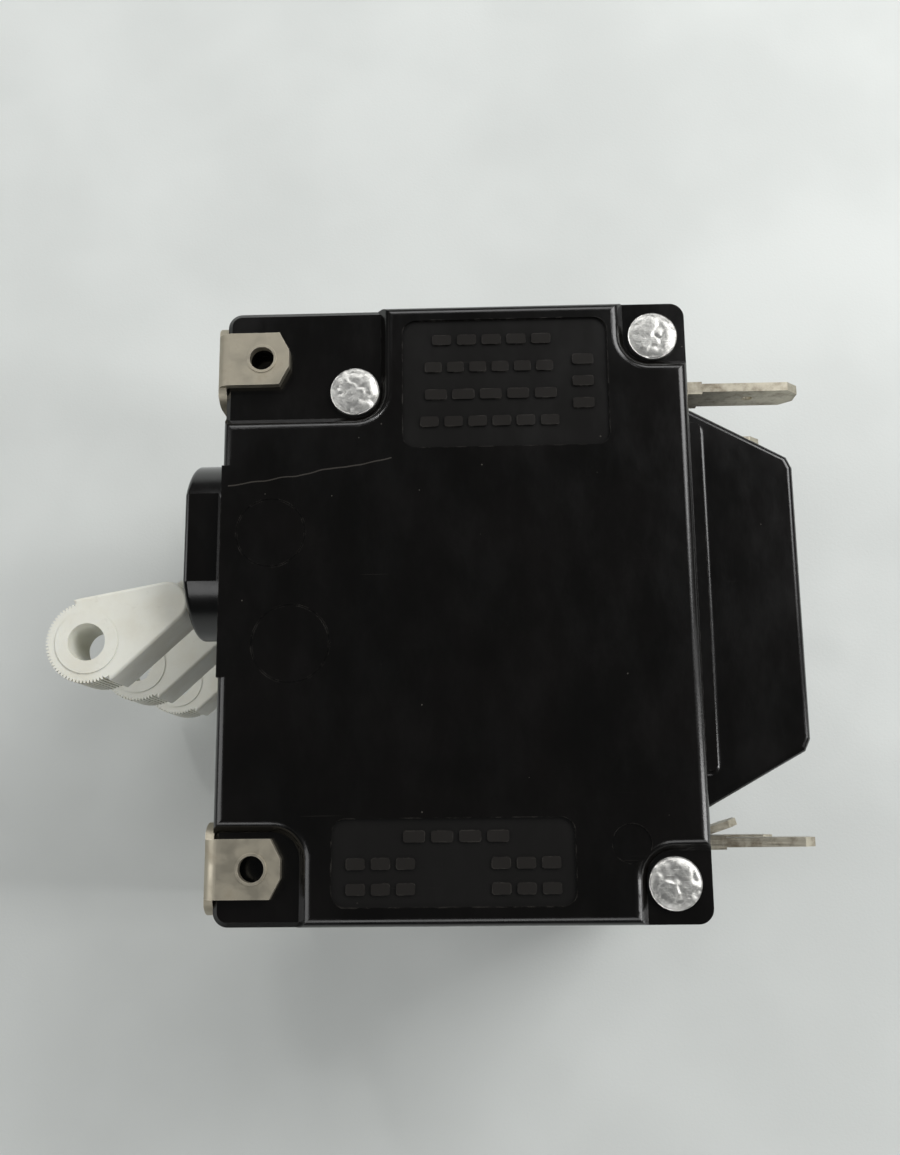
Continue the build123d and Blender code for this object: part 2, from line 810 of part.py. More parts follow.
def fixed_contact(middle):
    spot = (arm_pivot[0] + contact_x, contact_y, middle)
    with BuildPart() as button:
        with BuildSketch(Plane(origin=spot, x_dir=(0, 0, 1), z_dir=(0, 1, 0))):
            Circle(contact_r)
        extrude(amount=contact_t)
        fillet(button.edges().filter_by(GeomType.CIRCLE).sort_by(Axis.Y)[0], contact_edge_r)
    return button


def opening_spring(middle):
    # coil spring between the ledge and the arm, which pushes the contacts apart
    lean = math.atan2(arm_bend[1], arm_bend[0]) - math.radians(2 * arm_half_swing)
    reach = opening_spring_x - arm_pivot[0]
    arm_top = arm_pivot[1] + reach * math.tan(lean) + arm_w / 2 / math.cos(lean)
    lowest_turn = (opening_spring_r + opening_wire_r) * abs(math.tan(lean))
    low = arm_top + lowest_turn + opening_wire_r + slip
    high = opening_spring_top - opening_wire_r - slip / 2
    pitch = (high - low) / opening_spring_turns
    with BuildPart() as spring:
        with BuildLine() as path:
            Helix(
                pitch=pitch,
                height=high - low,
                radius=opening_spring_r,
                center=(opening_spring_x, low, middle),
                direction=(0, 1, 0),
            )
        with BuildSketch(Plane(origin=path.line @ 0, z_dir=path.line % 0)):
            Circle(opening_wire_r)
        sweep(path=path.line, is_frenet=True)
    return spring


def handle_spring(middle):
    # torsion spring round the handle's long hub
    height = handle_spring_pitch * handle_spring_turns
    low = middle - spring_hub_end + handle_wire_r
    with BuildPart() as spring:
        with BuildLine() as path:
            Helix(
                pitch=handle_spring_pitch,
                height=height,
                radius=handle_spring_r,
                center=(px, py, low),
            )
        with BuildSketch(Plane(origin=path.line @ 0, z_dir=path.line % 0)):
            Circle(handle_wire_r)
        sweep(path=path.line, is_frenet=True)
    return spring


def pivot_pins(middle):
    # handle, arm, armature and latch pins, held in sockets in both halves
    with BuildPart() as pins:
        with BuildSketch(Plane.XY.offset(middle - socket_end)):
            with Locations(*pin_spots):
                Circle(pin_r)
        extrude(amount=2 * socket_end)
    return pins


def blade_tip(tip, direction):
    # plane on a blade's tip, its X back along the blade and its Y across the poles
    return Plane(
        origin=tip,
        x_dir=(-direction.X, -direction.Y, 0),
        z_dir=(-direction.Y, direction.X, 0),
    )


def terminal(middle, level, route, tip_turn):
    # a strip bent to its route, thicker where it passes the wall, with a bevelled, holed tip
    ahead = Vector(math.cos(math.radians(tip_turn)), math.sin(math.radians(tip_turn)), 0)
    across = blade_tip((*route[0], middle), ahead)
    with BuildPart() as strip:
        with BuildSketch(Plane.XY.offset(middle - blade_w / 2)):
            with BuildLine():
                FilletPolyline(*route, radius=blade_bend_r)
            trace(line_width=blade_t)
        extrude(amount=blade_w)
        with BuildSketch(Plane.XY.offset(middle - blade_w / 2)):
            block(
                case_rear - end_wall,
                blade_root_end,
                level - blade_root_t / 2,
                level + blade_root_t / 2,
            )
        extrude(amount=blade_w)
        with BuildSketch(across):
            for side in (-1, 1):
                with BuildLine():
                    Polyline(
                        (-blade_t, side * blade_w),
                        (-blade_t, side * (blade_w / 2 - blade_tip_bevel)),
                        (0, side * (blade_w / 2 - blade_tip_bevel)),
                        (blade_tip_bevel, side * blade_w / 2),
                        (blade_tip_bevel, side * blade_w),
                        close=True,
                    )
                make_face()
            with Locations((blade_hole_from_tip, 0)):
                Circle(blade_hole_r)
        extrude(amount=blade_t, both=True, mode=Mode.SUBTRACT)
    return strip


def line_terminal(middle):
    route = [
        (line_tip_x, line_y),
        (line_leg_x, line_y),
        (line_leg_x, foot_y),
        (line_foot_x, foot_y),
    ]
    return terminal(middle, line_y, route, 0)


def load_terminal(middle, bend):
    # the blade of one pole is bent, so its route turns past the arc chamber's corner
    reach = load_tip_x - load_blade_bend_x
    turn = math.radians(bend)
    tip = (
        load_blade_bend_x + reach * math.cos(turn),
        load_y + reach * math.sin(turn),
    )
    route = [tip, (load_blade_bend_x, load_y), (load_leg_x, load_y), (load_leg_x, load_leg_top)]
    if bend == 0:
        route.pop(1)
    return terminal(middle, load_y, route, bend)


def arc_plates(middle):
    # notched steel plates across the arc chamber, held in grooves in both halves
    half_w = hump_half_t - hump_wall + plate_groove - slip
    low = -(plate_count - 1) / 2 * plate_pitch - plate_t / 2
    with BuildPart() as plates:
        for index in range(plate_count):
            under = Plane(origin=(0, low + index * plate_pitch, middle), x_dir=(1, 0, 0), z_dir=(0, 1, 0))
            with BuildSketch(under):
                block(plate_front, plate_back, -half_w, half_w)
                with BuildLine():
                    Polyline(
                        (plate_front - slip, plate_notch_half_w),
                        (plate_front + plate_notch, 0),
                        (plate_front - slip, -plate_notch_half_w),
                        close=True,
                    )
                make_face(mode=Mode.SUBTRACT)
            extrude(amount=plate_t)
    return plates


def magnet_frame(middle):
    # L-shaped iron under and beside the coil, with two ears for the armature's pin
    ax, ay = armature_pivot
    left = ax - frame_t / 2
    with BuildPart() as iron:
        with BuildSketch(Plane.XY.offset(middle)):
            block(left, frame_right, coil_low - frame_t, coil_low)
            block(left, left + frame_t, coil_low - frame_t, ay - armature_hub_r - frame_t)
        extrude(amount=frame_half_w, both=True)
        for side in (-1, 1):
            with BuildSketch(Plane.XY.offset(middle + side * frame_half_w)):
                block(left, left + frame_t, coil_low - frame_t, ay)
                with Locations(armature_pivot):
                    Circle(armature_hub_r)
            extrude(amount=-side * ear_t)
        with BuildSketch(Plane.XY.offset(middle)):
            with Locations(armature_pivot):
                Circle(pin_r + pin_fit)
        extrude(amount=frame_half_w, both=True, mode=Mode.SUBTRACT)
        with BuildSketch(coil_base(middle)):
            Circle(tube_r + slip / 2)
        extrude(amount=-frame_t, mode=Mode.SUBTRACT)
    return iron


def coil_base(middle):
    # plane under the coil, with the coil's axis as its Z
    return Plane(origin=(coil_x, coil_low, middle), x_dir=(1, 0, 0), z_dir=(0, 1, 0))


def coil(middle):
    with BuildPart() as winding:
        with BuildSketch(coil_base(middle)):
            Circle(coil_winding_r)
        extrude(amount=coil_height)
        for level in (0, coil_height - coil_flange_t):
            with BuildSketch(coil_base(middle).offset(level)):
                Circle(coil_r)
            extrude(amount=coil_flange_t)
        # start lead's tab on the upper flange and finish lead to the load terminal
        with BuildSketch(Plane.XY.offset(middle - braid_r)):
            block(coil_x + coil_winding_r, lead_tab_end, coil_high - lead_tab_t, coil_high)
        extrude(amount=2 * braid_r)
        with BuildSketch(Plane.YZ.offset(coil_x + coil_core_r + slip)):
            with Locations(((load_leg_top + coil_low) / 2, middle)):
                Circle(braid_r)
        extrude(amount=load_leg_x - blade_t / 2 - coil_x - coil_core_r - slip)
        with BuildSketch(coil_base(middle)):
            Circle(coil_core_r)
        extrude(amount=coil_height, mode=Mode.SUBTRACT)
    return winding


def dashpot_tube(middle):
    # closed brass tube through the coil, with its pole cap on top
    with BuildPart() as tube:
        with BuildSketch(coil_base(middle)):
            Circle(tube_r)
        extrude(amount=coil_height)
        extrude(tube.faces().sort_by(Axis.Y)[0], amount=coil_low - tube_low)
        fillet(tube.edges().sort_by(Axis.Y)[0], tube_end_r)
        with BuildSketch(coil_base(middle).offset(coil_height)):
            Circle(pole_cap_r)
        extrude(amount=pole_cap_t)
    return tube


def armature(middle):
    # hinged iron plate over the pole cap, with a leg that reaches the trip latch
    turn = math.radians(armature_swing)
    own = Plane(
        origin=(*armature_pivot, middle),
        x_dir=(math.cos(turn), math.sin(turn), 0),
        z_dir=(0, 0, 1),
    )
    plate_low = coil_high + pole_cap_t + armature_gap - armature_pivot[1]
    leg = (
        latch_pivot[0] + leg_tip[0] - armature_pivot[0],
        latch_pivot[1] + leg_tip[1] - armature_pivot[1],
    )
    with BuildPart() as plate:
        with BuildSketch(own):
            block(0, armature_len, plate_low, plate_low + armature_t)
            Circle(armature_hub_r)
        extrude(amount=armature_half_w, both=True)
        with BuildSketch(Plane(origin=(*armature_pivot, middle + trip_plane - trip_t / 2))):
            with BuildLine():
                Line((0, 0), leg)
            trace(line_width=trip_w)
            with Locations(leg):
                Circle(trip_w / 2)
        extrude(amount=trip_t)
        with BuildSketch(own):
            Circle(pin_r + pin_fit)
        extrude(amount=half_pitch, both=True, mode=Mode.SUBTRACT)
    return plate


def trip_latch(middle):
    # lever the armature's leg lifts, its nose reaches the trip bar
    with BuildPart() as latch:
        with BuildSketch(Plane(origin=(*latch_pivot, middle + trip_plane - trip_t / 2))):
            with BuildLine():
                Polyline(latch_nose, (0, 0), latch_arm)
            trace(line_width=latch_arm_w)
            with Locations(latch_nose, latch_arm):
                Circle(latch_arm_w / 2)
            Circle(latch_hub_r)
            Circle(pin_r + pin_fit, mode=Mode.SUBTRACT)
        extrude(amount=trip_t)
    return latch


def common_trip_bar():
    # one bar across all poles with a paddle in each
    bar_half = stack_half - trip_bar_end_wall - slip
    with BuildPart() as bar:
        with BuildSketch(Plane.XY.offset(-bar_half)):
            with Locations(trip_bar_spot):
                Circle(trip_bar_r)
        extrude(amount=2 * bar_half)
        for middle in pole_middles:
            with BuildSketch(Plane.XY.offset(middle + trip_plane - paddle_half_w)):
                block(
                    trip_bar_spot[0] - paddle_t / 2,
                    trip_bar_spot[0] + paddle_t / 2,
                    trip_bar_spot[1] - paddle_drop,
                    trip_bar_spot[1],
                )
            extrude(amount=2 * paddle_half_w)
    return bar


def flexible_braids():
    # copper braid in each pole from the contact arm to the coil's start lead
    with BuildPart() as braids:
        for middle in pole_middles:
            own = arm_plane(middle)
            under = own.from_local_coords((arm_tip_x - arm_w, arm_bend[1] - arm_w / 2 - slip, 0))
            turn_y = arm_bend[1] - arm_w - braid_bend_r
            below = own.from_local_coords((arm_tip_x - arm_w, turn_y, 0))
            lead_x = lead_tab_end - braid_r
            with BuildLine() as path:
                FilletPolyline(
                    under,
                    below,
                    (lead_x, below.Y - 3 * braid_bend_r, middle),
                    (lead_x, coil_high, middle),
                    radius=braid_bend_r,
                )
            with BuildSketch(Plane(origin=path.line @ 0, z_dir=path.line % 0)):
                Circle(braid_r)
            sweep(path=path.line)
    return braids


for pole, middle in zip(pole_names, pole_middles):
    print("pole", pole)
    finish(case_piece(middle, -1, middle == pole_middles[0]), f"{pole}_case_base")
    finish(case_piece(middle, 1, middle == pole_middles[-1]), f"{pole}_case_cover")
    finish(mounting_clips(middle), f"{pole}_mounting_clips")
    finish(handle(middle), f"{pole}_handle")
    finish(handle_spring(middle), f"{pole}_handle_spring")
    finish(toggle_link(middle), f"{pole}_toggle_link")
    finish(pivot_pins(middle), f"{pole}_pivot_pins")
    finish(contact_arm(middle), f"{pole}_contact_arm")
    finish(moving_contact(middle), f"{pole}_moving_contact")
    finish(opening_spring(middle), f"{pole}_opening_spring")
    finish(line_terminal(middle), f"{pole}_line_terminal")
    finish(fixed_contact(middle), f"{pole}_fixed_contact")
    finish(arc_plates(middle), f"{pole}_arc_plates")
    finish(magnet_frame(middle), f"{pole}_magnet_frame")
    finish(coil(middle), f"{pole}_coil")
    finish(dashpot_tube(middle), f"{pole}_dashpot_tube")
    finish(armature(middle), f"{pole}_armature")
    finish(trip_latch(middle), f"{pole}_trip_latch")
    finish(load_terminal(middle, load_blade_bends[pole]), f"{pole}_load_terminal")

finish(case_rivets(), "case_rivets")
finish(common_trip_bar(), "common_trip_bar")
finish(flexible_braids(), "flexible_braids")
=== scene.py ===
import bpy
import math
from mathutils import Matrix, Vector


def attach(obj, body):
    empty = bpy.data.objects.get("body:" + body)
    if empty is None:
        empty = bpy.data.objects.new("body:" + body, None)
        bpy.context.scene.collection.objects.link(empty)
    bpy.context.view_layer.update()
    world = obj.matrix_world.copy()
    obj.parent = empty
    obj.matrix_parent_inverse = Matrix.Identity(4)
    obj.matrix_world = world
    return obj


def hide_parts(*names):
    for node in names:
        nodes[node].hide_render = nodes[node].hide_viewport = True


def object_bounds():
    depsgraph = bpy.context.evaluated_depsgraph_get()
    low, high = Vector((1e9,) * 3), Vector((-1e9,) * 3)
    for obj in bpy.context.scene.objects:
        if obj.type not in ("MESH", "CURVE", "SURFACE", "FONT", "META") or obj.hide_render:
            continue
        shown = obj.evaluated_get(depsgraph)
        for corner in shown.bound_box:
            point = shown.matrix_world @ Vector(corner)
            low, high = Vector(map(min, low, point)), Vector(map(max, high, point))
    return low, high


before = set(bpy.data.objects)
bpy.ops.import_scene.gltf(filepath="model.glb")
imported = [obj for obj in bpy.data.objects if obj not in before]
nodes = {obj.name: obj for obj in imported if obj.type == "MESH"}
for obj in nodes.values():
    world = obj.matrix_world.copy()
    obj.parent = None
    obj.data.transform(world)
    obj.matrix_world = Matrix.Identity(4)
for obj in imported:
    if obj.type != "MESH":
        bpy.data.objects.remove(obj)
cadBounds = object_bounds()
millimetre = 0.001
poleNames = ["left", "centre", "right"]
print("frame loaded:", len(nodes), "nodes")


def linearColour(hexText):
    # sRGB hex to the linear colour the shaders work in
    parts = [int(hexText[i:i + 2], 16) / 255 for i in (1, 3, 5)]
    linear = [c / 12.92 if c <= 0.04045 else ((c + 0.055) / 1.055) ** 2.4 for c in parts]
    return (*linear, 1.0)


def addNode(tree, kind, settings=None, links=None):
    # one node, its settings (input names or node properties) and what feeds its inputs
    node = tree.nodes.new(kind)
    for key, value in (settings or {}).items():
        if isinstance(key, int) or (key in node.inputs and not hasattr(node, str(key))):
            node.inputs[key].default_value = value
        else:
            setattr(node, key, value)
    for key, source in (links or {}).items():
        tree.links.new(source, node.inputs[key])
    return node


def startMaterial(name):
    # empty material with a shader, and Object coordinates counted in millimetres
    material = bpy.data.materials.new(name)
    material.use_nodes = True
    tree = material.node_tree
    tree.nodes.clear()
    shader = addNode(tree, "ShaderNodeBsdfPrincipled")
    addNode(tree, "ShaderNodeOutputMaterial", links={"Surface": shader.outputs[0]})
    place = addNode(tree, "ShaderNodeTexCoord")
    inMillimetres = addNode(
        tree, "ShaderNodeVectorMath", {"operation": "SCALE", "Scale": 1 / millimetre},
        {0: place.outputs["Object"]},
    )
    return material, tree, shader, inMillimetres.outputs[0]


def stretched(tree, source, scale, turn=0.0):
    # coordinates stretched for grain, and turned about Z
    node = addNode(
        tree, "ShaderNodeMapping",
        {"Rotation": (0, 0, math.radians(turn)), "Scale": scale}, {"Vector": source},
    )
    return node.outputs[0]


def noise(tree, source, size, detail=3.0, rough=0.55):
    # noise whose lumps are about size millimetres across
    node = addNode(
        tree, "ShaderNodeTexNoise",
        {"Scale": 1 / size, "Detail": detail, "Roughness": rough}, {"Vector": source},
    )
    return node.outputs["Fac"]


def ramp(tree, source, low, high, outLow=0.0, outHigh=1.0):
    # smooth step between two values
    node = addNode(
        tree, "ShaderNodeMapRange",
        {"interpolation_type": "SMOOTHSTEP", "From Min": low, "From Max": high,
         "To Min": outLow, "To Max": outHigh},
        {"Value": source},
    )
    return node.outputs[0]


def combine(tree, operation, first, second=0.0):
    # one sum on two values, each a number or another node's result
    node = addNode(tree, "ShaderNodeMath", {"operation": operation})
    for socket, value in zip(node.inputs, (first, second)):
        if isinstance(value, (int, float)):
            socket.default_value = value
        else:
            tree.links.new(value, socket)
    return node.outputs[0]


def blendColour(tree, amount, first, second):
    # the first colour turning to the second as amount goes from 0 to 1
    node = addNode(tree, "ShaderNodeMix", {"data_type": "RGBA"}, {"Factor": amount})
    for socket, value in ((node.inputs[6], first), (node.inputs[7], second)):
        if isinstance(value, str):
            socket.default_value = linearColour(value)
        else:
            tree.links.new(value, socket)
    return node.outputs[2]


def edgeMask(tree, radius, low, high):
    # where the surface turns within radius millimetres, for rubbed edges
    rounded = addNode(tree, "ShaderNodeBevel", {"samples": 4, "Radius": radius * millimetre})
    surface = addNode(tree, "ShaderNodeNewGeometry")
    facing = addNode(
        tree, "ShaderNodeVectorMath", {"operation": "DOT_PRODUCT"},
        {0: rounded.outputs[0], 1: surface.outputs["Normal"]},
    )
    return ramp(tree, combine(tree, "SUBTRACT", 1.0, facing.outputs["Value"]), low, high)


def bump(tree, shader, layers):
    # stack of bumps, each a height from 0 to 1 and its depth in millimetres
    previous = None
    for height, depth in layers:
        node = addNode(
            tree, "ShaderNodeBump", {"Strength": 1.0, "Distance": depth * millimetre},
            {"Height": height},
        )
        if previous is not None:
            tree.links.new(previous, node.inputs["Normal"])
        previous = node.outputs[0]
    tree.links.new(previous, shader.inputs["Normal"])


def hairlines(tree, source, length, width, turn, share):
    # fine scratches, length by width millimetres, kept where the noise passes share
    along = stretched(tree, source, (1 / length, 1 / width, 1 / width), turn)
    lines = addNode(
        tree, "ShaderNodeTexNoise", {"Scale": 1.0, "Detail": 1.0, "Distortion": 0.3},
        {"Vector": along},
    )
    return ramp(tree, lines.outputs["Fac"], share, share + 0.05)


# where the camera stands, the table top under the part and the lights round it
cameraPlace = {
    "position": (27.854, -21.540, 147.090),  # mm in the part's own frame
    "tilt": 0.198, "roll": 0.031, "turn": -0.010,  # radians about X, Y and Z
    "lens": 37.35, "sensor": 36.0, "nearest": 5.0,  # mm
}


def makeCamera():
    camera = bpy.data.cameras.new("camera")
    camera.sensor_width = cameraPlace["sensor"]
    camera.lens = cameraPlace["lens"]
    camera.clip_start = cameraPlace["nearest"] * millimetre
    holder = bpy.data.objects.new("camera", camera)
    holder.location = [c * millimetre for c in cameraPlace["position"]]
    holder.rotation_euler = (cameraPlace["tilt"], cameraPlace["roll"], cameraPlace["turn"])
    bpy.context.scene.collection.objects.link(holder)
    bpy.context.scene.camera = holder


floorLook = {
    "size": 1600.0, "colour": "#d8dbd8", "shade": "#cfd2cf", "roughness": 0.62,
    "patch": 35.0, "grain": 0.35, "grainDepth": 0.02,
}


def makeFloor():
    # laminate table top, pale grey: even, with a faint cloud and a fine pressed grain
    material, tree, shader, place = startMaterial("pale_laminate")
    cloud = noise(tree, place, floorLook["patch"])
    colour = blendColour(tree, ramp(tree, cloud, 0.3, 0.7), floorLook["colour"], floorLook["shade"])
    tree.links.new(colour, shader.inputs["Base Color"])
    shader.inputs["Roughness"].default_value = floorLook["roughness"]
    bump(tree, shader, [(noise(tree, place, floorLook["grain"]), floorLook["grainDepth"])])
    half = floorLook["size"] / 2 * millimetre
    level = cadBounds[0][2]
    mesh = bpy.data.meshes.new("floor")
    mesh.from_pydata(
        [(-half, -half, level), (half, -half, level), (half, half, level), (-half, half, level)],
        [], [(0, 1, 2, 3)],
    )
    mesh.materials.append(material)
    floor = bpy.data.objects.new("floor", mesh)
    bpy.context.scene.collection.objects.link(floor)


lightPlan = [  # name, position mm, aimed at the case, size mm, power W
    ("window", (330, 230, 330), (260, 260), 1.6),
    ("leftWall", (-330, 0, 240), (240, 300), 0.55),
    ("rightStrip", (400, -30, 190), (45, 260), 0.6),
    ("bulb", (-120, 260, 300), (24, 24), 0.12),
    ("farWall", (0, 420, 260), (420, 160), 0.7),
    ("nearWall", (30, -420, 300), (420, 160), 0.55),
]
lampAim = (25, 0, 0)
worldLight = {"colour": "#cfd6da", "strength": 0.09}


def makeLights():
    for name, position, size, power in lightPlan:
        light = bpy.data.lights.new(name, "AREA")
        light.shape = "RECTANGLE"
        light.size = size[0] * millimetre
        light.size_y = size[1] * millimetre
        light.energy = power
        holder = bpy.data.objects.new(name, light)
        place = Vector(position) * millimetre
        holder.location = place
        aim = Vector(lampAim) * millimetre - place
        holder.rotation_euler = aim.to_track_quat("-Z", "Y").to_euler()
        bpy.context.scene.collection.objects.link(holder)
    world = bpy.data.worlds.new("studio")
    bpy.context.scene.world = world
    world.use_nodes = True
    backdrop = world.node_tree.nodes["Background"]
    backdrop.inputs["Color"].default_value = linearColour(worldLight["colour"])
    backdrop.inputs["Strength"].default_value = worldLight["strength"]


makeCamera()
makeFloor()
makeLights()
bpy.context.scene.view_settings.view_transform = "Standard"
print("camera, floor and lights in place")

# finishes, one function each
phenolicLook = {
    "colour": "#070605", "mottle": "#0b0908", "worn": "#4a4641", "dust": "#5c5953",
    # the second panel colour below is a painted highlight for the raised dashes
    "panel": "#171615", "dashHighlight": "#262422",
    "roughness": (0.17, 0.26), "flowSize": 9.0, "flowDepth": 0.015,
    "grainSize": 0.3, "grainDepth": 0.004, "smudgeSize": 4.5, "handledSize": 11.0,
    "rubbedRadius": 0.18, "rubbedPatch": 1.1,
    "hairs": [(14.0, 0.12, 17, 0.78), (7.0, 0.1, -64, 0.80)],  # length, width, turn, share
    "specksPerMm": 0.3, "speckSize": (0.016, 0.03),
    "panelLevel": (28.2, 28.3), "dashLevel": (28.465, 28.485),  # mm from the middle plane
    "scratchStart": (1.6, 12.2), "scratchEnd": (18.5, 14.9), "scratchWidth": 0.09,  # mm
    "scratchSway": 0.6, "scratchWave": 3.0,  # mm, the sway from side to side
    "sideFace": 28.0,  # mm, anything above it is the upper side face
}


def levelBand(tree, place, low, high):
    # 1 on either side of the part where the distance from its middle plane is low to high mm
    split = addNode(tree, "ShaderNodeSeparateXYZ", links={0: place})
    out = combine(tree, "ABSOLUTE", split.outputs[2])
    above = combine(tree, "GREATER_THAN", out, low)
    return combine(tree, "MULTIPLY", above, combine(tree, "LESS_THAN", out, high))


def longScratch(tree, place, start, end, width):
    # one thin line from start to end, mm, on the upper side face, wavering a little
    run = Vector(end) - Vector(start)
    split = addNode(tree, "ShaderNodeSeparateXYZ", links={0: place})
    x = combine(tree, "SUBTRACT", split.outputs[0], start[0])
    y = combine(tree, "SUBTRACT", split.outputs[1], start[1])
    sway = phenolicLook["scratchSway"]
    waver = noise(tree, place, phenolicLook["scratchWave"], 1.0)
    waver = combine(tree, "MULTIPLY", waver, sway)
    across = combine(tree, "SUBTRACT", y, combine(tree, "MULTIPLY", x, run.y / run.x))
    off = combine(tree, "SUBTRACT", combine(tree, "ADD", across, waver), sway / 2)
    off = combine(tree, "ABSOLUTE", off)
    line = ramp(tree, off, width / 2, width, 1.0, 0.0)
    afterStart = combine(tree, "GREATER_THAN", x, 0.0)
    inside = combine(tree, "MULTIPLY", afterStart, combine(tree, "LESS_THAN", x, run.x))
    upper = combine(tree, "GREATER_THAN", split.outputs[2], phenolicLook["sideFace"])
    return combine(tree, "MULTIPLY", combine(tree, "MULTIPLY", line, inside), upper)


def makePhenolic():
    # Phenolic resin, compression moulded from black powder: deep brown-black with a
    # hard semi-gloss skin, greyer where edges rub, fine hairlines and settled dust
    look = phenolicLook
    material, tree, shader, place = startMaterial("moulded_black_phenolic")
    flow = noise(tree, place, look["flowSize"], 4.0)
    grain = noise(tree, place, look["grainSize"], 2.0)
    wiped = stretched(tree, place, (1.0, 0.45, 0.45), 20)
    smudge = noise(tree, wiped, look["smudgeSize"], 5.0, 0.65)
    edge = edgeMask(tree, look["rubbedRadius"], 0.02, 0.35)
    edgeBreak = ramp(tree, noise(tree, place, look["rubbedPatch"], 4.0), 0.42, 0.66)
    rubbed = combine(tree, "MULTIPLY", edge, edgeBreak)
    hair = combine(tree, "MAXIMUM", *[hairlines(tree, place, *kind) for kind in look["hairs"]])
    handled = ramp(tree, noise(tree, place, look["handledSize"], 2.0), 0.48, 0.66)
    hair = combine(tree, "MULTIPLY", hair, handled)
    specks = addNode(
        tree, "ShaderNodeTexVoronoi",
        {"Scale": look["specksPerMm"], "Randomness": 1.0}, {"Vector": place},
    )
    speck = ramp(tree, specks.outputs["Distance"], *look["speckSize"], 1.0, 0.0)
    scratch = longScratch(
        tree, place, look["scratchStart"], look["scratchEnd"], look["scratchWidth"]
    )
    hair = combine(tree, "MAXIMUM", hair, scratch)
    colour = blendColour(tree, ramp(tree, flow, 0.35, 0.7), look["colour"], look["mottle"])
    sunk = levelBand(tree, place, *look["panelLevel"])
    raised = levelBand(tree, place, *look["dashLevel"])
    colour = blendColour(tree, sunk, colour, look["panel"])
    # raised dashes painted lighter: a painted highlight standing in for the light their embossed
    # edges catch
    colour = blendColour(tree, combine(tree, "MULTIPLY", raised, 0.8), colour, look["dashHighlight"])
    colour = blendColour(tree, combine(tree, "MULTIPLY", hair, 0.5), colour, look["worn"])
    colour = blendColour(tree, combine(tree, "MULTIPLY", rubbed, 0.55), colour, look["worn"])
    colour = blendColour(tree, combine(tree, "MULTIPLY", speck, 0.5), colour, look["dust"])
    tree.links.new(colour, shader.inputs["Base Color"])
    roughness = ramp(tree, smudge, 0.3, 0.72, *look["roughness"])
    roughness = combine(tree, "ADD", roughness, combine(tree, "MULTIPLY", rubbed, 0.2))
    roughness = combine(tree, "ADD", roughness, combine(tree, "MULTIPLY", hair, 0.1))
    tree.links.new(roughness, shader.inputs["Roughness"])
    shader.inputs["IOR"].default_value = 1.5
    bump(tree, shader, [(flow, look["flowDepth"]), (grain, look["grainDepth"])])
    return material


clipLook = {
    "colour": "#b5ae9d", "tarnish": "#a39a88", "edge": "#ded6c6",
    "roughness": (0.44, 0.6),
    "streak": (5.0, 0.06), "streakDepth": 0.004,  # mm
    "cloudSize": 1.8, "cloudDepth": 0.03, "polishedRadius": 0.12,  # mm
}


def makeClipSteel():
    # Cold-rolled steel strip, bright nickel plated after bending: warm silver, fine
    # rolling streaks along the strip, edges polished by the barrel
    look = clipLook
    material, tree, shader, place = startMaterial("nickel_plated_strip")
    length, width = look["streak"]
    streak = noise(tree, stretched(tree, place, (1 / width, 1 / width, 1 / length)), 1.0, 2.0)
    cloud = noise(tree, place, look["cloudSize"], 5.0)
    edge = edgeMask(tree, look["polishedRadius"], 0.02, 0.3)
    colour = blendColour(tree, ramp(tree, cloud, 0.5, 0.9), look["colour"], look["tarnish"])
    colour = blendColour(tree, edge, colour, look["edge"])
    tree.links.new(colour, shader.inputs["Base Color"])
    shader.inputs["Metallic"].default_value = 1.0
    tree.links.new(ramp(tree, cloud, 0.3, 0.7, *look["roughness"]), shader.inputs["Roughness"])
    bump(tree, shader, [(streak, look["streakDepth"]), (cloud, look["cloudDepth"])])
    return material


rivetLook = {
    "colour": "#c9c8c4", "grime": "#7f7c76", "roughness": (0.34, 0.52),
    "crushSize": 0.6, "crushDepth": 0.06, "scrape": (3.0, 0.08), "scrapeDepth": 0.01,  # mm
}


def makeRivetAluminium():
    # Soft aluminium, peened over cold: bright white metal, crushed all over, with a
    # little grime pressed into the folds
    look = rivetLook
    material, tree, shader, place = startMaterial("peened_aluminium")
    crush = noise(tree, place, look["crushSize"], 6.0, 0.65)
    scrape = hairlines(tree, place, *look["scrape"], 62, 0.62)
    colour = blendColour(tree, ramp(tree, crush, 0.55, 0.8), look["colour"], look["grime"])
    tree.links.new(colour, shader.inputs["Base Color"])
    shader.inputs["Metallic"].default_value = 1.0
    tree.links.new(ramp(tree, crush, 0.3, 0.7, *look["roughness"]), shader.inputs["Roughness"])
    bump(tree, shader, [(crush, look["crushDepth"]), (scrape, look["scrapeDepth"])])
    return material


handleLook = {
    "colour": "#e2e2d8", "warm": "#d9d7ca", "dirt": "#a39d8c",
    "roughness": (0.34, 0.5),
    "flowSize": 5.0, "flowDepth": 0.03,  # mm
    "poreSize": 0.12, "poreDepth": 0.01, "grimeSize": 1.4, "lightDepth": 0.6,  # mm
}


